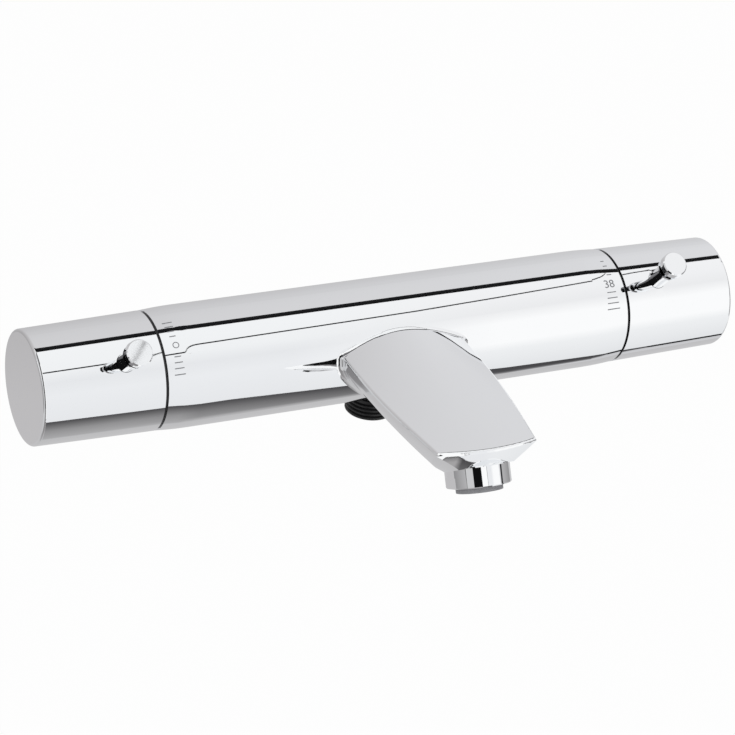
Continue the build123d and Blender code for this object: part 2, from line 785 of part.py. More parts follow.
def splined_end(line, seam, start):
    """Toothed end of a spindle with the hole of the carrier's screw."""
    end = seam + spline_outer
    drum(line, start, end, spline_radius)
    for tooth in range(spline_count):
        gap = beside(line, spline_radius, tooth * 360 / spline_count)
        drum(gap, seam + carrier_start, end, spline_depth, Mode.SUBTRACT)
    hole_start = end + carrier_screw_wall - screw_length - fitting
    drum(line, hole_start, end, screw_radius, Mode.SUBTRACT)


# Temperature spindle: thread, collar held by the retainer, journal and splined end
collar_from = cartridge_end + moving_gap
collar_to = collar_from + spindle_collar
journal_end = temp_seam_x - spline_inner
with BuildPart() as temp_spindle:
    drum(temp_line, thread_start + adjuster_lead_in, collar_from, screw_thread_radius)
    drum(temp_line, collar_from, collar_to, spindle_collar_radius)
    drum(temp_line, collar_to, journal_end, journal_radius)
    splined_end(temp_line, temp_seam_x, journal_end)
    groove_start = cartridge_end + spindle_seal_place
    groove_end = groove_start + spindle_seal_section
    groove_floor = journal_radius - spindle_seal_section
    sleeve(temp_line, groove_start, groove_end, groove_floor, journal_radius, Mode.SUBTRACT)
keep(temp_spindle, "temp_spindle")

with BuildPart() as temp_spindle_seal:
    ring_middle = (groove_start + groove_end) / 2
    cord_ring(temp_line, ring_middle, groove_floor + spindle_seal_section / 2, spindle_seal_section)
keep(temp_spindle_seal, "temp_spindle_seal")

# Retainer screwed into the bore, which holds the housing and the spindle's collar
with BuildPart() as thermostat_retainer:
    drum(temp_line, cartridge_end, retainer_end, cartridge_radius)
    drum(temp_line, cartridge_end, retainer_end, journal_radius + running, Mode.SUBTRACT)
    pocket_end = cartridge_end + retainer_pocket
    drum(temp_line, cartridge_end, pocket_end, spindle_collar_radius + moving_gap, Mode.SUBTRACT)
    for angle in (0, 180):
        key_hole = beside(temp_line, retainer_key_circle, angle)
        drum(key_hole, retainer_end - retainer_pocket, retainer_end, retainer_key_radius, Mode.SUBTRACT)
keep(thermostat_retainer, "thermostat_retainer")

# Flow valve: rubber seal, two ceramic discs, spindle and the brass headpart around them
fixed_from = flow_floor + flow_seal_thickness
rotating_from = fixed_from + disc_thickness + running
driver_from = rotating_from + disc_thickness
driver_to = driver_from + driver_thickness
port_angles = (180, 60, -60)
with BuildPart() as flow_seal:
    drum(flow_line, flow_floor, fixed_from, disc_radius)
    for angle in port_angles:
        port = beside(flow_line, disc_port_circle, angle)
        drum(port, flow_floor, fixed_from, disc_port_radius + fitting, Mode.SUBTRACT)
keep(flow_seal, "flow_seal")

with BuildPart() as fixed_disc:
    drum(flow_line, fixed_from, fixed_from + disc_thickness, disc_radius)
    for angle in port_angles:
        port = beside(flow_line, disc_port_circle, angle)
        drum(port, fixed_from, fixed_from + disc_thickness, disc_port_radius, Mode.SUBTRACT)
keep(fixed_disc, "fixed_disc")

# The rotating disc's channel joins the mixed port to the spout's or the outlet's port
with BuildPart() as rotating_disc:
    drum(flow_line, rotating_from, driver_from, disc_radius - moving_gap)
    channel = beside(flow_line, disc_port_circle - disc_channel_radius / 2, 180)
    drum(channel, rotating_from, rotating_from + disc_channel, disc_channel_radius, Mode.SUBTRACT)
keep(rotating_disc, "rotating_disc")

flow_journal_end = flow_seam_x - spline_inner
with BuildPart() as flow_spindle:
    drum(flow_line, driver_from, driver_to, driver_radius)
    drum(flow_line, driver_to, flow_journal_end, flow_journal_radius)
    splined_end(flow_line, flow_seam_x, flow_journal_end)
    groove_start = headpart_end - spindle_seal_place
    groove_end = groove_start + spindle_seal_section
    groove_floor = flow_journal_radius - spindle_seal_section
    sleeve(flow_line, groove_start, groove_end, groove_floor, flow_journal_radius, Mode.SUBTRACT)
keep(flow_spindle, "flow_spindle")

with BuildPart() as flow_spindle_seal:
    ring_middle = (groove_start + groove_end) / 2
    cord_ring(flow_line, ring_middle, groove_floor + spindle_seal_section / 2, spindle_seal_section)
keep(flow_spindle_seal, "flow_spindle_seal")

headpart_seal = flow_floor + headpart_seal_place
headpart_groove_floor = flow_bore_radius - o_ring_section
with BuildPart() as flow_headpart:
    drum(flow_line, flow_floor + headpart_start, headpart_end, headpart_radius)
    prism(flow_line, headpart_end - headpart_flange, headpart_end, headpart_flats)
    chamber_end = driver_to + moving_gap
    chamber_radius = headpart_radius - headpart_wall
    drum(flow_line, flow_floor + headpart_start, chamber_end, chamber_radius, Mode.SUBTRACT)
    drum(flow_line, chamber_end, headpart_end, flow_journal_radius + running, Mode.SUBTRACT)
    groove_from = headpart_seal - o_ring_section / 2
    groove_to = headpart_seal + o_ring_section / 2
    sleeve(flow_line, groove_from, groove_to, headpart_groove_floor, flow_bore_radius, Mode.SUBTRACT)
keep(flow_headpart, "flow_headpart")

with BuildPart() as headpart_o_ring:
    cord_ring(flow_line, headpart_seal, headpart_groove_floor + o_ring_section / 2, o_ring_section)
keep(headpart_o_ring, "headpart_o_ring")

# What the two ends of the bar have alike: which side, line, seam, seat of the stop ring, the
# pin's angle and how far the handle turns down and up from where it stands
sides = (
    ("flow", flow_line, flow_seam_x, headpart_end, flow_peg_angle, flow_turn_down, flow_turn_up),
    ("temp", temp_line, temp_seam_x, retainer_end, temp_peg_angle, temp_turn_down, temp_turn_up),
)
for side, line, seam, stop_seat, peg_angle, turn_down, turn_up in sides:
    body_end = seam - seam_gap / 2
    handle_start = seam + seam_gap / 2

    # Black ring that shows in the seam, its sleeve pressed into the body's mouth
    with BuildPart() as seam_ring:
        ring_outer = mouth_radius - fitting
        ring_inner = ring_outer - seam_ring_wall
        turned(
            [
                (body_end - seam_ring_depth, ring_inner),
                (handle_start - moving_gap, ring_inner),
                (handle_start - moving_gap, seam_ring_lip),
                (body_end, seam_ring_lip),
                (body_end, ring_outer),
                (body_end - seam_ring_depth, ring_outer),
            ],
            line,
        )
    keep(seam_ring, f"{side}_seam_ring")

    # Stop ring with two lugs, which the carrier's lug meets at the ends of the handle's turn
    stop_top = stop_seat + stop_ring_thickness
    half_lug = math.degrees(math.asin((stop_lug_radius + moving_gap / 2) / stop_lug_circle))
    with BuildPart() as stop_ring:
        sleeve(line, stop_seat, stop_top, stop_ring_inner, stop_ring_outer)
        for angle in (peg_angle - turn_down - 2 * half_lug, peg_angle + turn_up + 2 * half_lug):
            lug = beside(line, stop_lug_circle, angle)
            drum(lug, stop_seat, stop_top + stop_lug_height, stop_lug_radius)
    keep(stop_ring, f"{side}_stop_ring")

    # Carrier: plastic wheel that joins the spindle to the handle and takes the pin's thread
    rim_radius = handle_inner_radius - fitting
    carrier_from = seam + carrier_start
    carrier_to = carrier_from + carrier_length
    peg_line = spoke(line, seam + peg_offset, peg_angle)
    hub_end = seam + spline_outer + carrier_screw_wall + screw_head
    with BuildPart() as carrier:
        sleeve(line, carrier_from, carrier_to, rim_radius - carrier_rim, rim_radius)
        drum(line, carrier_from, carrier_from + carrier_web, rim_radius - carrier_rim / 2)
        drum(line, carrier_from, hub_end, carrier_hub_radius)
        drum(peg_line, carrier_hub_radius / 2, rim_radius - carrier_rim / 2, carrier_boss_radius)
        lug = beside(line, stop_lug_circle, peg_angle)
        drum(lug, stop_top + moving_gap, carrier_from + carrier_web / 2, stop_lug_radius)
        drum(line, carrier_from, hub_end, screw_radius + fitting, Mode.SUBTRACT)
        drum(line, carrier_from, seam + spline_outer, spline_radius + running, Mode.SUBTRACT)
        head_from = hub_end - screw_head
        drum(line, head_from, carrier_to, screw_head_radius + fitting, Mode.SUBTRACT)
        drum(peg_line, peg_bottom, rim_radius, peg_thread_radius, Mode.SUBTRACT)
        drum(peg_line, peg_shoulder, rim_radius + fitting, peg_radius, Mode.SUBTRACT)
    keep(carrier, f"{side}_carrier")

    # Socket screw that holds the carrier on the spindle
    with BuildPart() as carrier_screw:
        drum(line, head_from - screw_length, head_from, screw_radius)
        head_to = head_from + screw_head
        drum(line, head_from, head_to, screw_head_radius)
        prism(line, head_to - screw_socket_depth, head_to, screw_socket_flats, Mode.SUBTRACT)
    keep(carrier_screw, f"{side}_carrier_screw")

    # Handle: chromed shell closed at its outer end
    with BuildPart() as handle:
        handle_end = handle_start + handle_length
        with BuildSketch(line) as wall_half:
            with BuildLine():
                Polyline(
                    (handle_start, handle_inner_radius),
                    (handle_end - handle_end_wall, handle_inner_radius),
                    (handle_end - handle_end_wall, 0),
                    (handle_end, 0),
                    (handle_end, handle_end_radius),
                    (handle_start, seam_radius),
                    close=True,
                )
            make_face()
        revolve(wall_half.sketch, axis=Axis(line.origin, line.x_dir))
        end_edge = handle.edges().filter_by(GeomType.CIRCLE).filter_by(
            lambda edge: abs(edge.radius - handle_end_radius) < edge_match
        )
        fillet(end_edge, handle_edge)
        drum(peg_line, handle_inner_radius / 2, body_radius, peg_radius + fitting, Mode.SUBTRACT)
    keep(handle, f"{side}_handle")

    # Grip pin: its thread goes through the handle's wall into the carrier
    cap_bottom = button_reach - button_cap
    peg_top = cap_bottom - button_travel - moving_gap
    neck_top = peg_top - peg_collar
    bore_bottom = cap_bottom - button_spigot - button_spring_length
    with BuildPart() as peg:
        turned(
            [
                (peg_bottom, plunger_radius + moving_gap),
                (bore_bottom, plunger_radius + moving_gap),
                (bore_bottom, button_spigot_radius + running),
                (peg_top, button_spigot_radius + running),
                (peg_top, peg_collar_radius),
                (neck_top, peg_collar_radius),
                (neck_top, peg_neck_radius),
                (neck_top - peg_neck, peg_neck_radius),
                (neck_top - peg_neck, peg_radius),
                (peg_shoulder, peg_radius),
                (peg_shoulder, peg_thread_radius),
                (peg_bottom, peg_thread_radius),
            ],
            peg_line,
        )
    keep(peg, f"{side}_peg")

    # Push button in the pin's tip, with its spring and the plunger that frees the stop
    with BuildPart() as button:
        turned(
            [
                (peg_bottom + button_travel + moving_gap, 0),
                (button_reach, 0),
                (button_reach, button_radius - button_edge),
                (button_reach - button_edge, button_radius),
                (cap_bottom + button_edge, button_radius),
                (cap_bottom, button_radius - button_edge),
                (cap_bottom, button_spigot_radius),
                (cap_bottom - button_spigot, button_spigot_radius),
                (cap_bottom - button_spigot, plunger_radius),
                (peg_bottom + button_travel + moving_gap, plunger_radius),
            ],
            peg_line,
        )
    keep(button, f"{side}_button")

    with BuildPart() as button_spring:
        spring_outer = button_spigot_radius
        spring_inner = spring_outer - button_spring_wire
        sleeve(peg_line, bore_bottom, cap_bottom - button_spigot, spring_inner, spring_outer)
    keep(button_spring, f"{side}_button_spring")
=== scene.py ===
"""Looks of the thermostatic bath mixer, in the order in which the mixer is put together."""

import math

import bpy
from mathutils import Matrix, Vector


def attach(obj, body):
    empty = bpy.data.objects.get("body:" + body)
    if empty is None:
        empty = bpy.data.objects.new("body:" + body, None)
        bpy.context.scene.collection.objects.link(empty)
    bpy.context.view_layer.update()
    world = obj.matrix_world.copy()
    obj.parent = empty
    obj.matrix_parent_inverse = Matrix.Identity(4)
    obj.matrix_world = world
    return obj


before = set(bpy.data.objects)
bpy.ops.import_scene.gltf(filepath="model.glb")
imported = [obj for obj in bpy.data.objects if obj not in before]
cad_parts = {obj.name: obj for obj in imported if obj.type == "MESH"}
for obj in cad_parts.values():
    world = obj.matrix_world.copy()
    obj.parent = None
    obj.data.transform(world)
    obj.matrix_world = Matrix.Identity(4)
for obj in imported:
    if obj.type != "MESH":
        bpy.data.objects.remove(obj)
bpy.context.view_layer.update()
bpy.ops.object.select_all(action="DESELECT")
bpy.context.view_layer.objects.active = None

# The body: the bar and its spout are one brass casting, ground and polished by hand, then
# plated with nickel and bright chromium. The plating is a near white mirror with hardly any
# blur in it.


def linear(code):
    """Scene colour of an sRGB hex value."""
    parts = [int(code[i:i + 2], 16) / 255 for i in (1, 3, 5)]
    parts = [p / 12.92 if p <= 0.04045 else ((p + 0.055) / 1.055) ** 2.4 for p in parts]
    return (*parts, 1.0)


def add(tree, kind, settings, links):
    """Add a node, set its properties or plain sockets, and link its other sockets."""
    made = tree.nodes.new(kind)
    for name, value in settings.items():
        if isinstance(name, str) and hasattr(made, name):
            setattr(made, name, value)
        else:
            made.inputs[name].default_value = value
    for name, source in links.items():
        tree.links.new(source, made.inputs[name])
    return made


def finish(name, settings):
    """Start a material from its surface values, and give back its tree, shader and place."""
    made = bpy.data.materials.new(name)
    made.use_nodes = True
    tree = made.node_tree
    tree.nodes.clear()
    shader = add(tree, "ShaderNodeBsdfPrincipled", settings, {})
    add(tree, "ShaderNodeOutputMaterial", {}, {"Surface": shader.outputs["BSDF"]})
    place = add(tree, "ShaderNodeTexCoord", {}, {}).outputs["Object"]
    return made, tree, shader, place


def dress(material, *nodes):
    """Give a material to carried-over solids."""
    for node in nodes:
        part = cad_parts[node]
        part.data.materials.clear()
        part.data.materials.append(material)


# Bright chromium over polished brass: a clear mirror, softened a little by fine polishing haze,
# with waves of a few millimetres left by the buffing wheel
chrome, tree, shader, place = finish(
    "bright_chromium_plate",
    {"Base Color": linear("#FAFBFC"), "Metallic": 1.0},
)
haze = add(tree, "ShaderNodeTexNoise", {"Scale": 160.0, "Detail": 4.0}, {"Vector": place})
spread = add(
    tree, "ShaderNodeMapRange", {"To Min": 0.015, "To Max": 0.045}, {"Value": haze.outputs["Fac"]}
)
tree.links.new(spread.outputs["Result"], shader.inputs["Roughness"])
waves = add(tree, "ShaderNodeTexNoise", {"Scale": 90.0, "Detail": 1.0}, {"Vector": place})
relief = add(
    tree,
    "ShaderNodeBump",
    {"Strength": 0.02, "Distance": 0.0002},
    {"Height": waves.outputs["Fac"]},
)
tree.links.new(relief.outputs["Normal"], shader.inputs["Normal"])
dress(chrome, "mixer_body")

# The thermostat: a turned brass sleeve with ports, screwed into the right end of the casting.
# The wax element moves the spool between the ports; two stainless springs and rubber rings go
# with it.

# Turned brass: yellow, not plated, with the fine rings that the lathe's tool leaves every
# 0.25 mm, drawn three times as coarse so that they show
brass, tree, shader, place = finish(
    "turned_brass", {"Base Color": linear("#C9A45C"), "Metallic": 1.0}
)
turning = add(
    tree,
    "ShaderNodeTexWave",
    {"wave_type": "BANDS", "bands_direction": "X", "Scale": 210.0, "Distortion": 0.6},
    {"Vector": place},
)
spread = add(
    tree, "ShaderNodeMapRange", {"To Min": 0.22, "To Max": 0.34}, {"Value": turning.outputs["Fac"]}
)
tree.links.new(spread.outputs["Result"], shader.inputs["Roughness"])
relief = add(
    tree,
    "ShaderNodeBump",
    {"Strength": 0.25, "Distance": 0.00003},
    {"Height": turning.outputs["Fac"]},
)
tree.links.new(relief.outputs["Normal"], shader.inputs["Normal"])

# Stainless steel: grey metal, drawn and bright, with faint lengthwise streaks
steel, tree, shader, place = finish(
    "drawn_stainless_steel", {"Base Color": linear("#B9BABC"), "Metallic": 1.0}
)
along = add(tree, "ShaderNodeMapping", {"Scale": (60.0, 900.0, 900.0)}, {"Vector": place})
streaks = add(
    tree, "ShaderNodeTexNoise", {"Scale": 1.0, "Detail": 3.0}, {"Vector": along.outputs["Vector"]}
)
spread = add(
    tree, "ShaderNodeMapRange", {"To Min": 0.18, "To Max": 0.32}, {"Value": streaks.outputs["Fac"]}
)
tree.links.new(spread.outputs["Result"], shader.inputs["Roughness"])

# Nitrile rubber: matt black, with the dusty grain of its mould, about 0.1 mm
rubber, tree, shader, place = finish(
    "moulded_nitrile_rubber", {"IOR": 1.52, "Roughness": 0.72, "Specular IOR Level": 0.4}
)
grain = add(tree, "ShaderNodeTexNoise", {"Scale": 4000.0, "Detail": 3.0}, {"Vector": place})
tone = add(
    tree,
    "ShaderNodeMix",
    {"data_type": "RGBA", 6: linear("#1B1B1C"), 7: linear("#2A2A2B")},
    {"Factor": grain.outputs["Fac"]},
)
tree.links.new(tone.outputs[2], shader.inputs["Base Color"])

dress(
    brass,
    "thermostat_housing", "mixing_spool", "wax_element",
    "adjusting_nut", "temp_spindle", "thermostat_retainer",
)
dress(steel, "return_spring", "overload_spring")
dress(rubber, "thermostat_seals", "temp_spindle_seal")

# The flow valve: two lapped alumina discs in a brass headpart at the left end. A rubber seal
# presses them together, and the spindle turns the outer one.

# Alumina ceramic: dense, off white and lapped to a soft gloss, with a faint speckle of 0.3 mm
ceramic, tree, shader, place = finish("lapped_alumina", {"IOR": 1.76, "Roughness": 0.16})
speckle = add(tree, "ShaderNodeTexNoise", {"Scale": 2600.0, "Detail": 2.0}, {"Vector": place})
tone = add(
    tree,
    "ShaderNodeMix",
    {"data_type": "RGBA", 6: linear("#E9E6DD"), 7: linear("#F4F2EC")},
    {"Factor": speckle.outputs["Fac"]},
)
tree.links.new(tone.outputs[2], shader.inputs["Base Color"])

dress(ceramic, "fixed_disc", "rotating_disc")
dress(brass, "flow_spindle", "flow_headpart")
dress(rubber, "flow_seal", "flow_spindle_seal", "headpart_o_ring")

# The rings at the seams: black acetal, pressed into both ends of the casting. Their edge is the
# dark line that parts each handle from the body; the stop rings sit behind them.

# Black acetal: moulded, smooth and slightly waxy, with an even fine texture of 0.2 mm
black_plastic, tree, shader, place = finish("moulded_black_acetal", {"IOR": 1.48})
texture = add(tree, "ShaderNodeTexNoise", {"Scale": 3000.0, "Detail": 2.0}, {"Vector": place})
tone = add(
    tree,
    "ShaderNodeMix",
    {"data_type": "RGBA", 6: linear("#141415"), 7: linear("#1F1F21")},
    {"Factor": texture.outputs["Fac"]},
)
tree.links.new(tone.outputs[2], shader.inputs["Base Color"])
spread = add(
    tree, "ShaderNodeMapRange", {"To Min": 0.30, "To Max": 0.42}, {"Value": texture.outputs["Fac"]}
)
tree.links.new(spread.outputs["Result"], shader.inputs["Roughness"])

dress(black_plastic, "flow_seam_ring", "temp_seam_ring", "flow_stop_ring", "temp_stop_ring")

# The handles: each is a deep drawn brass cup over a white acetal carrier. The carrier is held on
# the spindle by a socket screw, and the cup is plated like the body.

# Natural acetal: milky white, a little translucent, moulded to a satin surface
white_plastic, tree, shader, place = finish(
    "moulded_natural_acetal",
    {"IOR": 1.48, "Subsurface Weight": 0.08, "Subsurface Scale": 0.001},
)
cloud = add(tree, "ShaderNodeTexNoise", {"Scale": 400.0, "Detail": 3.0}, {"Vector": place})
tone = add(
    tree,
    "ShaderNodeMix",
    {"data_type": "RGBA", 6: linear("#E4E3DC"), 7: linear("#F0EFEA")},
    {"Factor": cloud.outputs["Fac"]},
)
tree.links.new(tone.outputs[2], shader.inputs["Base Color"])
spread = add(
    tree, "ShaderNodeMapRange", {"To Min": 0.36, "To Max": 0.48}, {"Value": cloud.outputs["Fac"]}
)
tree.links.new(spread.outputs["Result"], shader.inputs["Roughness"])

dress(white_plastic, "flow_carrier", "temp_carrier")
dress(steel, "flow_carrier_screw", "temp_carrier_screw")
dress(chrome, "flow_handle", "temp_handle")

# The grip pins: a plated brass pin is screwed through each cup into the carrier. The button in
# its tip is pressed in to pass the stop, against a small steel spring.
dress(chrome, "flow_peg", "temp_peg", "flow_button", "temp_button")
dress(steel, "flow_button_spring", "temp_button_spring")

# The inlets: on the wall side each has a brass nipple in the casting's boss, a plated union nut,
# a steel strainer, a gasket and an acetal check valve.
for side in ("hot", "cold"):
    dress(brass, f"{side}_nipple")
    dress(chrome, f"{side}_union_nut")
    dress(steel, f"{side}_strainer", f"{side}_valve_spring")
    dress(rubber, f"{side}_gasket")
    dress(white_plastic, f"{side}_check_valve", f"{side}_poppet")
dress(rubber, "inlet_o_rings")

# The shower outlet: a black acetal nipple under the bar carries the thread of the shower hose.
# Its check valve sits in the bore, sealed by a ring above the thread.
dress(black_plastic, "shower_outlet")
dress(rubber, "outlet_o_ring")
dress(white_plastic, "outlet_check_valve", "outlet_poppet")
dress(steel, "outlet_valve_spring")

# The aerator: its plated housing is screwed into the tip of the spout over a rubber washer. The
# grey flow former stands a little proud of it.

# Grey acetal: moulded, satin, mid grey with the slight mottle of its filler
grey_plastic, tree, shader, place = finish("moulded_grey_acetal", {"IOR": 1.48})
mottle = add(tree, "ShaderNodeTexNoise", {"Scale": 900.0, "Detail": 4.0}, {"Vector": place})
tone = add(
    tree,
    "ShaderNodeMix",
    {"data_type": "RGBA", 6: linear("#8E8E92"), 7: linear("#A2A2A6")},
    {"Factor": mottle.outputs["Fac"]},
)
tree.links.new(tone.outputs[2], shader.inputs["Base Color"])
spread = add(
    tree, "ShaderNodeMapRange", {"To Min": 0.38, "To Max": 0.50}, {"Value": mottle.outputs["Fac"]}
)
tree.links.new(spread.outputs["Result"], shader.inputs["Roughness"])

dress(chrome, "aerator_housing")
dress(grey_plastic, "aerator_insert")
dress(rubber, "aerator_washer")

# The printed scales: one at each end of the body, pad printed in grey ink and baked on. Strokes
# and a small ring are for the flow, strokes and the figure 38 for the temperature.

# Printing ink: satin grey film, slightly uneven where the pad lifted
ink, tree, shader, place = finish("baked_grey_printing_ink", {"IOR": 1.5})
film = add(tree, "ShaderNodeTexNoise", {"Scale": 3500.0, "Detail": 3.0}, {"Vector": place})
tone = add(
    tree,
    "ShaderNodeMix",
    {"data_type": "RGBA", 6: linear("#77787B"), 7: linear("#8B8C90")},
    {"Factor": film.outputs["Fac"]},
)
tree.links.new(tone.outputs[2], shader.inputs["Base Color"])
spread = add(
    tree, "ShaderNodeMapRange", {"To Min": 0.40, "To Max": 0.55}, {"Value": film.outputs["Fac"]}
)
tree.links.new(spread.outputs["Result"], shader.inputs["Roughness"])

bar_axis = Vector((0.0, -0.041, 0.011))
bar_radius = 0.025
over_bar = 0.0003
ink_lift = 0.00002
ink_thickness = 0.00003
stroke_width = 0.00042
# Flow strokes: angle above the front, and length in millimetres
flow_scale_at = -0.0978
flow_strokes = (
    (77.3, 4.2), (72.0, 3.6), (66.5, 3.0), (61.0, 2.6),
    (40.8, 2.8), (35.3, 3.4), (29.9, 4.0), (24.1, 4.6),
)
# Temperature strokes: angle above the front, length and place along the bar in millimetres
temp_strokes = (
    (80.3, 1.6, 101.3), (73.1, 2.0, 101.2), (62.2, 2.3, 101.1),
    (43.5, 4.3, 99.6), (37.9, 4.9, 99.5), (32.7, 5.5, 99.5), (26.9, 6.1, 99.4),
)
mark_angle = 51.8
ring_at = -0.0975
ring_radius = 0.0014
ring_hole = 0.72
figure_at = 0.0995
figure_height = 0.0052


def over_the_bar(x, angle):
    """Place just off the bar at a distance along it and an angle above its front."""
    out = Vector((0, -math.cos(math.radians(angle)), math.sin(math.radians(angle))))
    return Vector((x, bar_axis.y, bar_axis.z)) + out * (bar_radius + over_bar)


def print_on_body(mark, name):
    """Lay a flat mark on the casting as a thin film of ink, and let it go with the body."""
    mark.name = name
    bpy.ops.object.transform_apply(location=True, rotation=True, scale=True)
    laid = mark.modifiers.new("laid", "SHRINKWRAP")
    laid.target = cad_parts["mixer_body"]
    laid.wrap_method = "NEAREST_SURFACEPOINT"
    laid.wrap_mode = "ABOVE_SURFACE"
    laid.offset = ink_lift
    bpy.ops.object.modifier_apply(modifier="laid")
    film_depth = mark.modifiers.new("film", "SOLIDIFY")
    film_depth.thickness = ink_thickness
    film_depth.offset = 1.0
    bpy.ops.object.modifier_apply(modifier="film")
    mark.data.materials.clear()
    mark.data.materials.append(ink)
    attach(mark, "fixed_body")
    mark.select_set(False)


def stroke(name, x, angle, length):
    """One printed stroke along the bar."""
    bpy.ops.mesh.primitive_grid_add(
        x_subdivisions=8,
        y_subdivisions=2,
        size=1.0,
        location=over_the_bar(x, angle),
        rotation=(math.radians(90 - angle), 0, 0),
    )
    mark = bpy.context.object
    mark.scale = (length, stroke_width, 1.0)
    print_on_body(mark, name)


for number, (angle, length) in enumerate(flow_strokes, 1):
    stroke(f"flow_scale_stroke_{number}", flow_scale_at, angle, length / 1000)

# The ring marks the closed place of the flow handle
bpy.ops.mesh.primitive_circle_add(
    vertices=48,
    radius=ring_radius,
    fill_type="NOTHING",
    location=over_the_bar(ring_at, mark_angle),
    rotation=(math.radians(90 - mark_angle), 0, 0),
)
ring = bpy.context.object
bpy.ops.object.mode_set(mode="EDIT")
bpy.ops.mesh.select_all(action="SELECT")
bpy.ops.mesh.extrude_region_move()
bpy.ops.transform.resize(value=(ring_hole, ring_hole, ring_hole))
bpy.ops.object.mode_set(mode="OBJECT")
print_on_body(ring, "flow_scale_ring")

for number, (angle, length, x) in enumerate(temp_strokes, 1):
    stroke(f"temp_scale_stroke_{number}", x / 1000, angle, length / 1000)

# The figure 38 stands at the mark of the safe temperature
bpy.ops.object.text_add(
    radius=figure_height,
    location=over_the_bar(figure_at, mark_angle),
    rotation=(math.radians(90 - mark_angle), 0, 0),
)
figure = bpy.context.object
figure.data.body = "38"
figure.data.align_x = "CENTER"
figure.data.align_y = "CENTER"
bpy.ops.object.convert(target="MESH")
figure = bpy.context.object
bpy.ops.object.mode_set(mode="EDIT")
bpy.ops.mesh.select_all(action="SELECT")
bpy.ops.mesh.remove_doubles(threshold=0.000005)
bpy.ops.mesh.quads_convert_to_tris()
bpy.ops.mesh.subdivide(number_cuts=2)
bpy.ops.object.mode_set(mode="OBJECT")
print_on_body(figure, "temp_scale_figure")

# The studio: a white room with large soft boxes and dark flags, which only show as reflections
# in the plating. The floor is plain and pale, far below the mixer.

floor_size = 14.0
floor_height = -1.3
floor_shown = 0.97
room_light = 0.6


def seen_as_background(tree):
    """One for a ray to the camera, a reflection or a look through glass, and nothing for others."""
    rays = add(tree, "ShaderNodeLightPath", {}, {})
    seen = rays.outputs["Is Camera Ray"]
    for way in ("Is Glossy Ray", "Is Transmission Ray"):
        either = add(
            tree, "ShaderNodeMath", {"operation": "MAXIMUM"}, {0: seen, 1: rays.outputs[way]}
        )
        seen = either.outputs["Value"]
    return seen


# Pale floor: painted board, matt, shown white to the camera but still taking a faint shadow
floor_paint = bpy.data.materials.new("matt_pale_floor_paint")
floor_paint.use_nodes = True
tree = floor_paint.node_tree
tree.nodes.clear()
paint = add(tree, "ShaderNodeBsdfDiffuse", {"Color": linear("#F2F2F1")}, {})
bright = add(tree, "ShaderNodeEmission", {"Color": linear("#FFFFFF"), "Strength": 1.0}, {})
share = add(
    tree,
    "ShaderNodeMath",
    {"operation": "MULTIPLY", 1: floor_shown},
    {0: seen_as_background(tree)},
)
mixed = add(
    tree,
    "ShaderNodeMixShader",
    {},
    {0: share.outputs["Value"], 1: paint.outputs["BSDF"], 2: bright.outputs["Emission"]},
)
add(tree, "ShaderNodeOutputMaterial", {}, {"Surface": mixed.outputs["Shader"]})
bpy.ops.mesh.primitive_plane_add(size=floor_size, location=(0, 0, floor_height))
floor = bpy.context.object
floor.name = "floor"
floor.data.materials.append(floor_paint)
floor.select_set(False)

# White room: shown white in the background and in the plating, at an even level on the rest
room = bpy.data.worlds.new("white_room")
bpy.context.scene.world = room
room.use_nodes = True
tree = room.node_tree
tree.nodes.clear()
white = linear("#FFFFFF")
shown = add(tree, "ShaderNodeBackground", {"Color": white, "Strength": 1.0}, {})
lighting = add(tree, "ShaderNodeBackground", {"Color": white, "Strength": room_light}, {})
mixed = add(
    tree,
    "ShaderNodeMixShader",
    {},
    {
        0: seen_as_background(tree),
        1: lighting.outputs["Background"],
        2: shown.outputs["Background"],
    },
)
add(tree, "ShaderNodeOutputWorld", {}, {"Surface": mixed.outputs["Shader"]})

# The tent of cards round the bar: its radius, the ends of its cards in degrees, and how far a
# card stands behind or before the others
tent_radius = 1.2
hem = -98.0
box_hem = -90.0
box_top = 99.0
back_top = 107.8
back_hem = 262.0
box_behind = 0.05
flag_before = -0.01
gap_width = 2.4


def hang(card, near_shades, far_shades):
    """Give a card its cloth, and show it to nothing but the plating.

    The shades of an end are (place from the lower to the upper edge, grey) pairs.
    """
    cloth = bpy.data.materials.new(f"{card.name}_cloth")
    cloth.use_nodes = True
    tree = cloth.node_tree
    tree.nodes.clear()
    spot = add(tree, "ShaderNodeTexCoord", {}, {})
    parts = add(tree, "ShaderNodeSeparateXYZ", {}, {"Vector": spot.outputs["UV"]})
    ramps = []
    for shades in (near_shades, far_shades):
        ramp = add(tree, "ShaderNodeValToRGB", {}, {"Fac": parts.outputs["Y"]})
        steps = ramp.color_ramp.elements
        steps[0].position, steps[1].position = shades[0][0], shades[-1][0]
        steps[0].color, steps[1].color = linear(shades[0][1]), linear(shades[-1][1])
        for height, shade in shades[1:-1]:
            steps.new(height).color = linear(shade)
        ramps.append(ramp.outputs["Color"])
    blend = add(
        tree,
        "ShaderNodeMix",
        {"data_type": "RGBA"},
        {"Factor": parts.outputs["X"], 6: ramps[0], 7: ramps[1]},
    )
    glow = add(tree, "ShaderNodeEmission", {"Strength": 1.0}, {"Color": blend.outputs[2]})
    add(tree, "ShaderNodeOutputMaterial", {}, {"Surface": glow.outputs["Emission"]})
    card.data.materials.append(cloth)
    card.visible_camera = False
    card.visible_diffuse = False
    card.visible_shadow = False
    card.visible_transmission = False
    card.select_set(False)


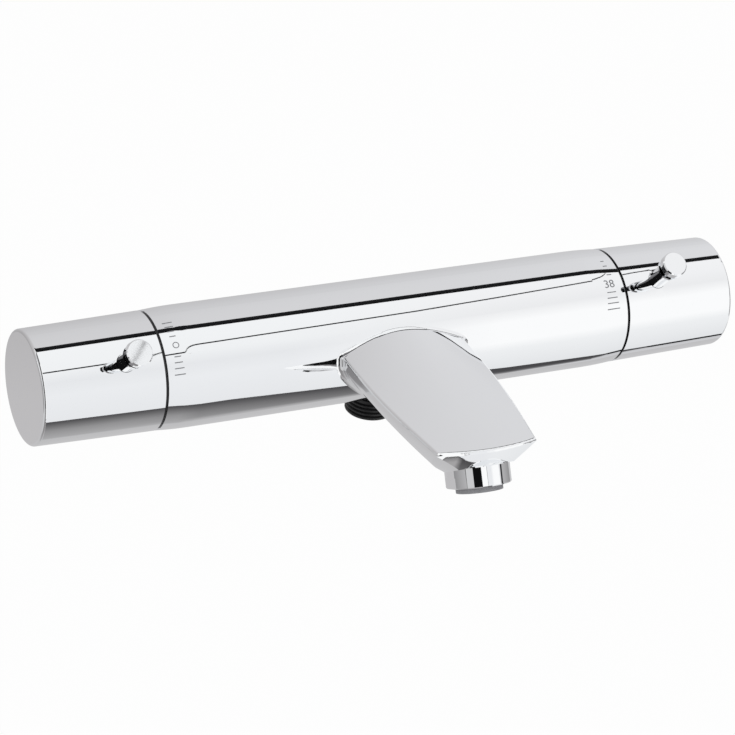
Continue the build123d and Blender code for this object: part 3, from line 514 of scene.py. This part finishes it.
def flag(name, near, far, near_shades, far_shades=None, behind=0.0):
    """Card bent round the bar, seen only in the plating.

    near and far are its two ends: (distance along the bar in metres, lower angle, upper angle).
    """
    bpy.ops.mesh.primitive_grid_add(x_subdivisions=24, y_subdivisions=48, size=1.0)
    card = bpy.context.object
    card.name = name
    for point in card.data.vertices:
        across = point.co.x + 0.5
        up = point.co.y + 0.5
        along = near[0] + (far[0] - near[0]) * across
        low = near[1] + (far[1] - near[1]) * across
        high = near[2] + (far[2] - near[2]) * across
        turn = math.radians(low + (high - low) * up)
        out = Vector((0, -math.cos(turn), math.sin(turn)))
        point.co = Vector((along, bar_axis.y, bar_axis.z)) + out * (tent_radius + behind)
    hang(card, near_shades, far_shades or near_shades)


# Front soft box, brightest across its middle towards the right
box_left = (
    (0.0, "#E6E7E9"), (0.52, "#EFF0F2"), (0.65, "#EAEBED"), (0.77, "#F4F5F6"), (1.0, "#F6F7F8"),
)
box_right = (
    (0.0, "#E4E5E7"), (0.32, "#F2F3F4"), (0.41, "#FFFFFF"), (0.62, "#FFFFFF"),
    (0.74, "#EFEFF0"), (0.86, "#F4F4F5"), (1.0, "#F6F6F7"),
)
flag("box_left", (0.13, box_hem, box_top), (0.46, box_hem, box_top), box_left, None, box_behind)
flag(
    "box_middle",
    (0.46, box_hem, box_top),
    (0.66, box_hem, box_top),
    box_left,
    box_right,
    box_behind,
)
flag("box_right", (0.66, box_hem, box_top), (1.60, box_hem, box_top), box_right, None, box_behind)
# Grey back of the tent, from over the bar down behind it to the floor
back_left = (
    (0.0, "#C4C2C3"), (0.31, "#B8B6B7"), (0.62, "#A5A3A4"),
    (0.68, "#BEBCBD"), (0.80, "#C4C3C4"), (1.0, "#BEBDBE"),
)
back_right = ((0.0, "#DEDEE0"), (0.18, "#DEDEE0"), (0.40, "#D2D2D4"), (1.0, "#C2C1C2"))
flag("back_left", (-2.5, back_top, back_hem), (-0.7, back_top, back_hem), back_left)
flag("back", (-0.7, back_top, back_hem), (0.9, back_top, back_hem), back_left, back_right)
flag("back_far_right", (0.9, back_top, back_hem), (2.5, back_top, back_hem), back_right)
# Black flag over the bar: the thick dark line along its top
black = ((0.0, "#111112"), (1.0, "#202022"))
flag("top_flag", (-0.4, 99.2, 108.4), (0.78, 99.2, 108.4), black, None, flag_before)
flag("top_flag_right", (0.78, 99.2, 108.4), (1.8, 95.6, 105.8), black, None, flag_before)
plain_grey = ((0.0, "#DEDEE0"), (1.0, "#DEDEE0"))
flag("top_right_grey", (0.78, 107.8, 107.9), (1.8, 105.0, 107.9), plain_grey)
# Dark gap between the upper and the front soft box: the thin line down the middle of the bar
gap_line = (
    (0.14, 53.0), (0.258, 53.6), (0.268, 55.5), (0.281, 59.3), (0.297, 62.4), (0.320, 64.4),
    (0.42, 66.8), (0.56, 70.0), (0.64, 74.6), (0.70, 78.8), (0.75, 82.6), (0.79, 85.6),
    (0.82, 88.4), (0.85, 92.0), (0.87, 95.4), (0.88, 99.2),
)
dark = ((0.0, "#1E1E20"), (1.0, "#1E1E20"))
for number, ((x, low), (next_x, next_low)) in enumerate(zip(gap_line, gap_line[1:]), 1):
    near = (x, low, low + gap_width)
    far = (next_x, next_low, next_low + gap_width)
    flag(f"gap_flag_{number}", near, far, dark)
flag("box_edge", (0.126, -30.0, 54.0), (0.144, -30.0, 54.0), dark)
flag("box_seam", (0.2900, 51.30, 51.46), (0.3060, 52.20, 52.36), dark)
# Black cloth below the front soft box, which fades into the grey floor of the tent
low_left = (
    (0.0, "#C2C2C3"), (0.10, "#ACABAC"), (0.32, "#A2A1A2"), (0.55, "#959495"),
    (0.80, "#727172"), (1.0, "#484749"),
)
low_middle = (
    (0.0, "#BBBABB"), (0.12, "#AEADAE"), (0.26, "#8F8E8F"), (0.6, "#7A797A"), (1.0, "#4A494B"),
)
low_right = ((0.0, "#A8A7A8"), (0.25, "#666567"), (0.45, "#4C4B4D"), (1.0, "#464547"))
tip_grey = (
    (0.0, "#C2C2C3"), (0.5, "#AFADAE"), (0.95, "#A6A4A5"), (0.985, "#8A898A"), (1.0, "#343335"),
)
flag("low_flag_left", (0.12, hem, -43.0), (0.19, hem, -44.4), tip_grey, low_left)
flag("low_flag_corner", (0.19, hem, -44.4), (0.26, hem, -46.6), low_left)
flag("low_flag_near", (0.26, hem, -46.6), (0.386, hem, -49.4), low_left, low_middle)
flag("low_flag_middle", (0.386, hem, -49.4), (0.65, hem, -76.8), low_middle, low_right)
flag("low_flag_right", (0.65, hem, -76.8), (0.82, -87.0, -81.8), low_right)
flag("low_flag_end", (0.82, -87.4, -81.6), (1.8, -84.4, -78.6), dark)
pale = ((0.0, "#CFCFD1"), (1.0, "#C8C8CA"))
flag("low_right_grey", (0.65, hem, hem), (0.82, hem, -87.0), pale)
flag("low_end_grey", (0.82, hem, -87.4), (2.5, hem, -84.4), pale)
# The dark side of the room, where the camera stands: bands on the aerator and round the pins
side_black = ((0.0, "#101011"), (1.0, "#121213"))
side_grey = ((0.0, "#8E8C8D"), (1.0, "#858384"))
side_floor = ((0.0, "#ACABAC"), (1.0, "#8E8C8D"))
side_high = ((0.0, "#5A595B"), (1.0, "#8A898B"))
side_pale = ((0.0, "#CCCCCD"), (1.0, "#CCCCCD"))
flag("camera_side", (-1.0, -14.0, 72.0), (-0.25, -14.0, 72.0), side_black)
flag("camera_side_low", (-1.0, -66.0, -14.0), (-0.2, -66.0, -14.0), side_grey)
flag("camera_side_tip", (-0.2, hem, -43.0), (0.12, hem, -43.0), tip_grey)
flag("camera_side_floor", (-1.0, hem, -66.0), (-0.2, hem, -66.0), side_floor)
flag("camera_side_high", (-1.0, 72.0, 99.8), (-0.05, 72.0, 99.8), side_high)
flag("camera_side_left", (-2.5, hem, 99.8), (-1.0, hem, 99.8), side_pale)

# Both ends of the tent, so that the discs and a side view have something to mirror
end_cloth = (
    (0.0, "#6A696A"), (0.32, "#8E8D8E"), (0.545, "#B4B3B4"), (0.555, "#2A2A2C"),
    (0.585, "#2A2A2C"), (0.595, "#E4E4E6"), (0.80, "#F4F4F5"), (1.0, "#B8B8BA"),
)
end_size = 5.0
for name, x in (("end_left", -2.55), ("end_right", 2.55)):
    bpy.ops.mesh.primitive_plane_add(
        size=end_size, location=(x, 0, 0), rotation=(math.radians(90), 0, math.radians(90))
    )
    bpy.context.object.name = name
    hang(bpy.context.object, end_cloth, end_cloth)

# One large soft box from above, which only lights what isn't plated
bpy.ops.object.light_add(type="AREA", location=(-0.5, -0.9, 1.3))
lamp = bpy.context.object
lamp.name = "soft_box"
lamp.data.shape = "SQUARE"
lamp.data.size = 1.2
lamp.data.energy = 9.0
lamp.rotation_euler = (Vector((0, -0.05, 0)) - lamp.location).to_track_quat("-Z", "Y").to_euler()
lamp.visible_glossy = False

# The camera: a long lens from the left and above, held with a slight roll, as in the photograph.
view = bpy.data.cameras.new("camera")
view.lens = 145.41
view.sensor_width = 36.0
camera = bpy.data.objects.new("camera", view)
camera.location = (-0.50951, -0.99216, 0.61161)
camera.rotation_euler = [math.radians(a) for a in (60.146, -5.537, -24.871)]
bpy.context.scene.collection.objects.link(camera)
bpy.context.scene.camera = camera
bpy.context.scene.view_settings.view_transform = "Standard"

bpy.context.view_layer.update()
